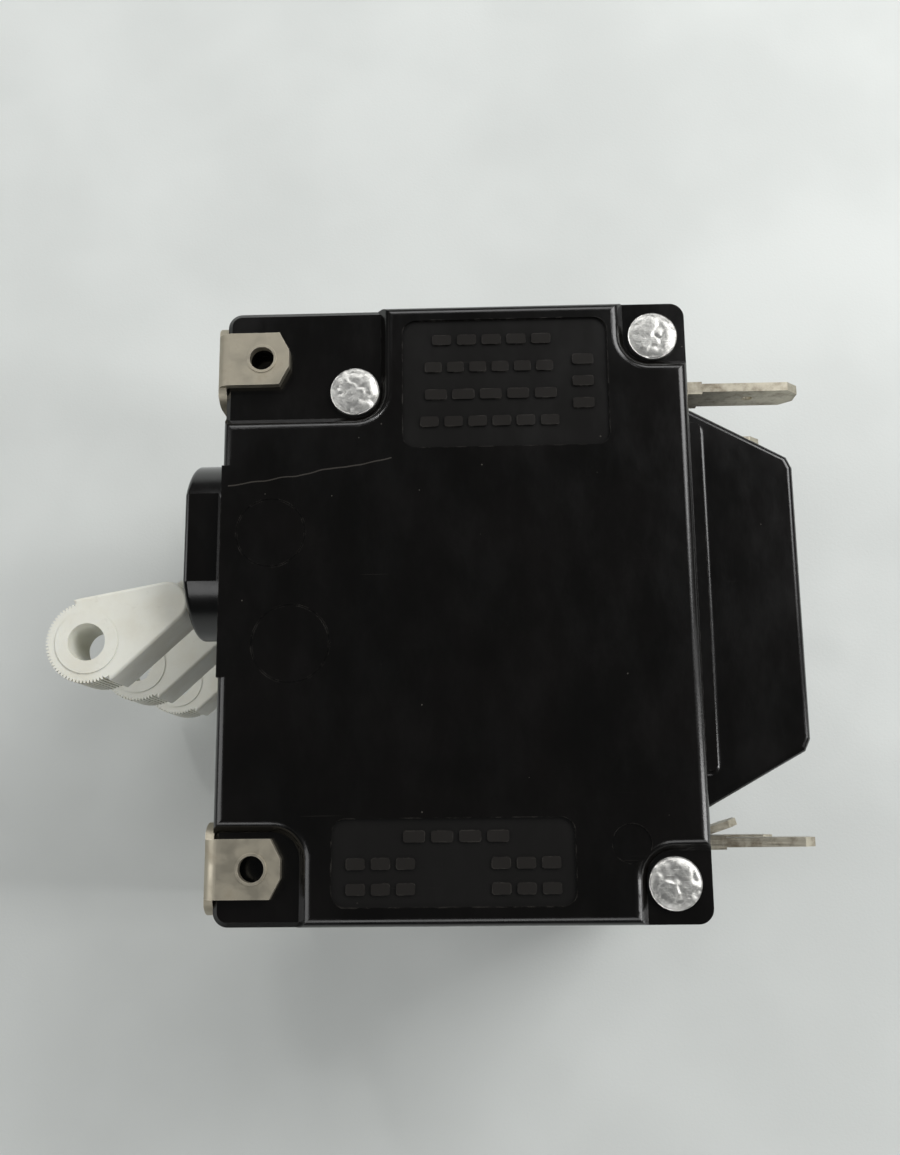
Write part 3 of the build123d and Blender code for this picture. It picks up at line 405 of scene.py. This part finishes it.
def makeHandlePlastic():
    # Urea thermoset, moulded ivory white: satin, a touch translucent at thin edges,
    # skin grime in cloudy patches
    look = handleLook
    material, tree, shader, place = startMaterial("ivory_urea")
    flow = noise(tree, place, look["flowSize"], 4.0)
    pores = noise(tree, place, look["poreSize"], 2.0)
    grime = ramp(tree, noise(tree, place, look["grimeSize"], 6.0, 0.7), 0.56, 0.8)
    colour = blendColour(tree, ramp(tree, flow, 0.35, 0.7), look["colour"], look["warm"])
    colour = blendColour(tree, combine(tree, "MULTIPLY", grime, 0.3), colour, look["dirt"])
    tree.links.new(colour, shader.inputs["Base Color"])
    tree.links.new(ramp(tree, flow, 0.3, 0.7, *look["roughness"]), shader.inputs["Roughness"])
    shader.inputs["IOR"].default_value = 1.54
    shader.inputs["Subsurface Weight"].default_value = 0.12
    shader.inputs["Subsurface Radius"].default_value = (1.0, 0.85, 0.6)
    shader.inputs["Subsurface Scale"].default_value = look["lightDepth"] * millimetre
    bump(tree, shader, [(flow, look["flowDepth"]), (pores, look["poreDepth"])])
    return material


bladeLook = {
    "colour": "#b9b3a3", "oxide": "#8a8273", "tarnish": "#6d5c44",
    "roughness": (0.34, 0.55),
    "streak": (6.0, 0.08), "streakDepth": 0.006,  # mm
    "bloomSize": 1.6, "bloomDepth": 0.03,  # mm
}


def makeBladeTin():
    # Brass strip with a dull hot-dip tin skin: grey-beige metal, long wiping streaks,
    # brown bloom where the skin is thin
    look = bladeLook
    material, tree, shader, place = startMaterial("tinned_brass")
    length, width = look["streak"]
    streak = noise(tree, stretched(tree, place, (1 / length, 1 / width, 1 / width)), 1.0, 3.0)
    bloom = noise(tree, place, look["bloomSize"], 6.0, 0.65)
    colour = blendColour(tree, ramp(tree, bloom, 0.4, 0.7), look["colour"], look["oxide"])
    thin = ramp(tree, combine(tree, "MULTIPLY", bloom, streak), 0.33, 0.5)
    colour = blendColour(tree, thin, colour, look["tarnish"])
    tree.links.new(colour, shader.inputs["Base Color"])
    shader.inputs["Metallic"].default_value = 1.0
    tree.links.new(ramp(tree, streak, 0.3, 0.7, *look["roughness"]), shader.inputs["Roughness"])
    bump(tree, shader, [(streak, look["streakDepth"]), (bloom, look["bloomDepth"])])
    return material


workLooks = {  # metals and plastics of the works inside the case
    # base colour, stain, how metallic, how rough, and the stain's size in mm
    "bright_spring_wire": ("#a9a9a6", "#6f6d69", 1.0, 0.34, 0.5),
    "stamped_zinc_steel": ("#a8a69d", "#77746b", 1.0, 0.4, 0.9),
    "ground_steel_pin": ("#bdbdbb", "#8a8886", 1.0, 0.24, 0.6),
    "bare_copper": ("#c98a63", "#7c4a30", 1.0, 0.38, 1.2),
    "contact_silver": ("#d8d6cf", "#8f8b82", 1.0, 0.3, 0.8),
    "soft_iron": ("#6f7072", "#4a4645", 1.0, 0.5, 1.0),
    "enamelled_winding": ("#a2552a", "#6c3216", 0.0, 0.25, 0.45),
    "drawn_brass": ("#c8a861", "#8c6f38", 1.0, 0.32, 1.4),
    "brown_phenolic": ("#3a2216", "#27160e", 0.0, 0.42, 1.0),
}


def makeWorkFinish(name):
    # one finish of the list above, mottled with its stain
    colour, stain, metallic, roughness, size = workLooks[name]
    material, tree, shader, place = startMaterial(name)
    mottle = noise(tree, place, size, 5.0)
    mottled = blendColour(tree, ramp(tree, mottle, 0.42, 0.75), colour, stain)
    tree.links.new(mottled, shader.inputs["Base Color"])
    shader.inputs["Metallic"].default_value = metallic
    uneven = ramp(tree, mottle, 0.3, 0.7, roughness - 0.08, roughness + 0.1)
    tree.links.new(uneven, shader.inputs["Roughness"])
    bump(tree, shader, [(mottle, 0.02)])
    return material


finishes = {
    "case_base": makePhenolic(),
    "mounting_clips": makeClipSteel(),
    "case_rivets": makeRivetAluminium(),
    "handle": makeHandlePlastic(),
    "line_terminal": makeBladeTin(),
}
finishes["case_cover"] = finishes["case_base"]
finishes["load_terminal"] = finishes["line_terminal"]
workFinishes = {name: makeWorkFinish(name) for name in workLooks}
for nodeKind, finishName in {
    "handle_spring": "bright_spring_wire", "opening_spring": "bright_spring_wire",
    "toggle_link": "stamped_zinc_steel", "trip_latch": "stamped_zinc_steel",
    "pivot_pins": "ground_steel_pin", "contact_arm": "bare_copper",
    "flexible_braids": "bare_copper", "moving_contact": "contact_silver",
    "fixed_contact": "contact_silver", "arc_plates": "soft_iron",
    "magnet_frame": "soft_iron", "armature": "soft_iron", "coil": "enamelled_winding",
    "dashpot_tube": "drawn_brass", "common_trip_bar": "brown_phenolic",
}.items():
    finishes[nodeKind] = workFinishes[finishName]


rivetPlan = {
    "spots": [(14.6, 22.5), (45.95, 28.0), (45.8, -27.9)],  # mm
    "headRadius": 2.55, "headHeight": 0.93, "shankRadius": 1.6, "floorLevel": 27.475,  # mm
    "dome": 0.34, "dent": 0.16, "foldSize": 2.2,  # mm
    "foldWidth": 0.07, "foldShare": 0.7, "unevenShare": 1.6, "seed": 11,
    "rounds": 72, "rings": 14, "steps": 5, "shankRounds": 40,  # how finely each is divided
}


def rivetPoints():
    # one point for each head, on the recess floor at either end of each rivet
    mesh = bpy.data.meshes.new("rivet_points")
    level = rivetPlan["floorLevel"]
    places = [(x, y, side * level) for x, y in rivetPlan["spots"] for side in (1, -1)]
    mesh.from_pydata([Vector(place) * millimetre for place in places], [], [])
    return mesh


def rivetTree(material):
    # heads on points: a disc with a crushed, folded face, and a shank below each one
    plan = rivetPlan
    tree = bpy.data.node_groups.new("peened_rivets", "GeometryNodeTree")
    face = tree.interface
    face.new_socket("Points", in_out="INPUT", socket_type="NodeSocketGeometry")
    sizes = {}
    for label in (
        "Head radius", "Head height", "Shank radius", "Shank length",
        "Dome", "Dent", "Fold size", "Seed",
    ):
        socket = face.new_socket(label, in_out="INPUT", socket_type="NodeSocketFloat")
        sizes[label] = socket.identifier
    face.new_socket("Rivets", in_out="OUTPUT", socket_type="NodeSocketGeometry")
    given = addNode(tree, "NodeGroupInput").outputs
    head = addNode(
        tree, "GeometryNodeMeshCylinder",
        {"Vertices": plan["rounds"], "Side Segments": plan["steps"],
         "Fill Segments": plan["rings"]},
        {"Radius": given["Head radius"], "Depth": given["Head height"]},
    )
    lifted = addNode(tree, "ShaderNodeCombineXYZ", links={
        "Z": combine(tree, "MULTIPLY", given["Head height"], 0.5),
    })
    raised = addNode(
        tree, "GeometryNodeTransform",
        links={"Geometry": head.outputs["Mesh"], "Translation": lifted.outputs[0]},
    )
    place = addNode(tree, "GeometryNodeInputPosition").outputs[0]
    split = addNode(tree, "ShaderNodeSeparateXYZ", links={0: place})
    flat = addNode(tree, "ShaderNodeCombineXYZ", links={0: split.outputs[0], 1: split.outputs[1]})
    fromAxis = addNode(tree, "ShaderNodeVectorMath", {"operation": "LENGTH"}, {0: flat.outputs[0]})
    # how far out from the axis and how high up the head each point is, from 0 to 1
    spread = combine(tree, "DIVIDE", fromAxis.outputs["Value"], given["Head radius"])
    lift = combine(tree, "DIVIDE", split.outputs[2], given["Head height"])
    named = raised.outputs[0]
    for name, value in (("spread", spread), ("lift", lift)):
        named = addNode(
            tree, "GeometryNodeStoreNamedAttribute",
            {"data_type": "FLOAT", "domain": "POINT", "Name": name},
            {"Geometry": named, "Value": value},
        ).outputs[0]
    shank = addNode(
        tree, "GeometryNodeMeshCylinder", {"Vertices": plan["shankRounds"]},
        {"Radius": given["Shank radius"], "Depth": given["Shank length"]},
    )
    drop = addNode(tree, "ShaderNodeCombineXYZ", links={
        "Z": combine(tree, "MULTIPLY", given["Shank length"], -0.5),
    })
    sunk = addNode(
        tree, "GeometryNodeTransform",
        links={"Geometry": shank.outputs["Mesh"], "Translation": drop.outputs[0]},
    )
    whole = addNode(tree, "GeometryNodeJoinGeometry")
    tree.links.new(sunk.outputs[0], whole.inputs[0])
    tree.links.new(named, whole.inputs[0])
    # heads below the middle plane are turned over
    below = combine(tree, "LESS_THAN", split.outputs[2], 0.0)
    turned = addNode(
        tree, "ShaderNodeCombineXYZ", links={0: combine(tree, "MULTIPLY", below, math.pi)}
    )
    asTurn = addNode(tree, "FunctionNodeEulerToRotation", links={0: turned.outputs[0]})
    everyHead = addNode(
        tree, "GeometryNodeInstanceOnPoints",
        links={"Points": given["Points"], "Instance": whole.outputs[0],
               "Rotation": asTurn.outputs[0]},
    )
    real = addNode(
        tree, "GeometryNodeRealizeInstances", links={"Geometry": everyHead.outputs[0]}
    )
    # crushed face: folds along a noise's middle line, and a slow unevenness
    seeded = addNode(
        tree, "ShaderNodeVectorMath", {"operation": "ADD"}, {0: place, 1: given["Seed"]}
    )
    fine = combine(tree, "DIVIDE", 1.0, given["Fold size"])
    folds = addNode(
        tree, "ShaderNodeTexNoise", {"Detail": 1.0}, {"Vector": seeded.outputs[0], "Scale": fine}
    )
    slow = addNode(
        tree, "ShaderNodeTexNoise", {"Detail": 2.0},
        {"Vector": place, "Scale": combine(tree, "MULTIPLY", fine, 0.8)},
    )
    fromFold = combine(
        tree, "ABSOLUTE", combine(tree, "SUBTRACT", folds.outputs["Fac"], 0.5)
    )
    fold = ramp(tree, fromFold, 0.0, plan["foldWidth"], plan["foldShare"], 0.0)
    uneven = combine(tree, "MULTIPLY", slow.outputs["Fac"], plan["unevenShare"])
    crush = combine(tree, "ADD", fold, uneven)
    crush = combine(tree, "MULTIPLY", combine(tree, "MULTIPLY", crush, given["Dent"]), -1.0)
    far, high = [
        addNode(
            tree, "GeometryNodeInputNamedAttribute", {"data_type": "FLOAT", "Name": name}
        ).outputs[0]
        for name in ("spread", "lift")
    ]
    # the rim slumps, and only the top of the head moves
    slump = combine(tree, "MULTIPLY", combine(tree, "POWER", far, 6.0), given["Dome"])
    fall = combine(tree, "SUBTRACT", crush, slump)
    fall = combine(tree, "MULTIPLY", fall, combine(tree, "POWER", high, 3.0))
    fall = combine(tree, "MULTIPLY", fall, combine(tree, "SIGN", split.outputs[2]))
    move = addNode(tree, "ShaderNodeCombineXYZ", links={"Z": fall})
    crushed = addNode(
        tree, "GeometryNodeSetPosition",
        links={"Geometry": real.outputs[0], "Offset": move.outputs[0]},
    )
    smooth = addNode(
        tree, "GeometryNodeSetShadeSmooth", {"Shade Smooth": True},
        {"Geometry": crushed.outputs[0]},
    )
    painted = addNode(
        tree, "GeometryNodeSetMaterial", {"Material": material}, {"Geometry": smooth.outputs[0]}
    )
    addNode(tree, "NodeGroupOutput", links={0: painted.outputs[0]})
    return tree, sizes


def makeRivets(material):
    # long rivets with heads peened over on both side faces
    plan = rivetPlan
    base = bpy.data.objects.new("rivet_points", rivetPoints())
    bpy.context.scene.collection.objects.link(base)
    tree, sizes = rivetTree(material)
    modifier = base.modifiers.new("rivets", "NODES")
    modifier.node_group = tree
    values = {
        "Head radius": plan["headRadius"], "Head height": plan["headHeight"],
        "Shank radius": plan["shankRadius"], "Shank length": plan["floorLevel"],
        "Dome": plan["dome"], "Dent": plan["dent"], "Fold size": plan["foldSize"],
        "Seed": plan["seed"] / millimetre,
    }
    for label, value in values.items():
        modifier[sizes[label]] = float(value * millimetre)
    shaped = base.evaluated_get(bpy.context.evaluated_depsgraph_get())
    mesh = bpy.data.meshes.new_from_object(shaped)
    bpy.data.objects.remove(base)
    rivets = bpy.data.objects.new("peened_rivets", mesh)
    bpy.context.scene.collection.objects.link(rivets)
    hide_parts("case_rivets")
    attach(rivets, "case")
    print("rivets peened:", len(mesh.polygons), "faces")


makeRivets(finishes["case_rivets"])


def paintNodes():
    # every node takes its own finish; a pole's pieces are named left_, centre_ or right_
    for name, node in nodes.items():
        pole, _, kind = name.partition("_")
        material = finishes[kind if pole in poleNames else name]
        node.data.materials.clear()
        node.data.materials.append(material)


paintNodes()
print("finishes given to every node")
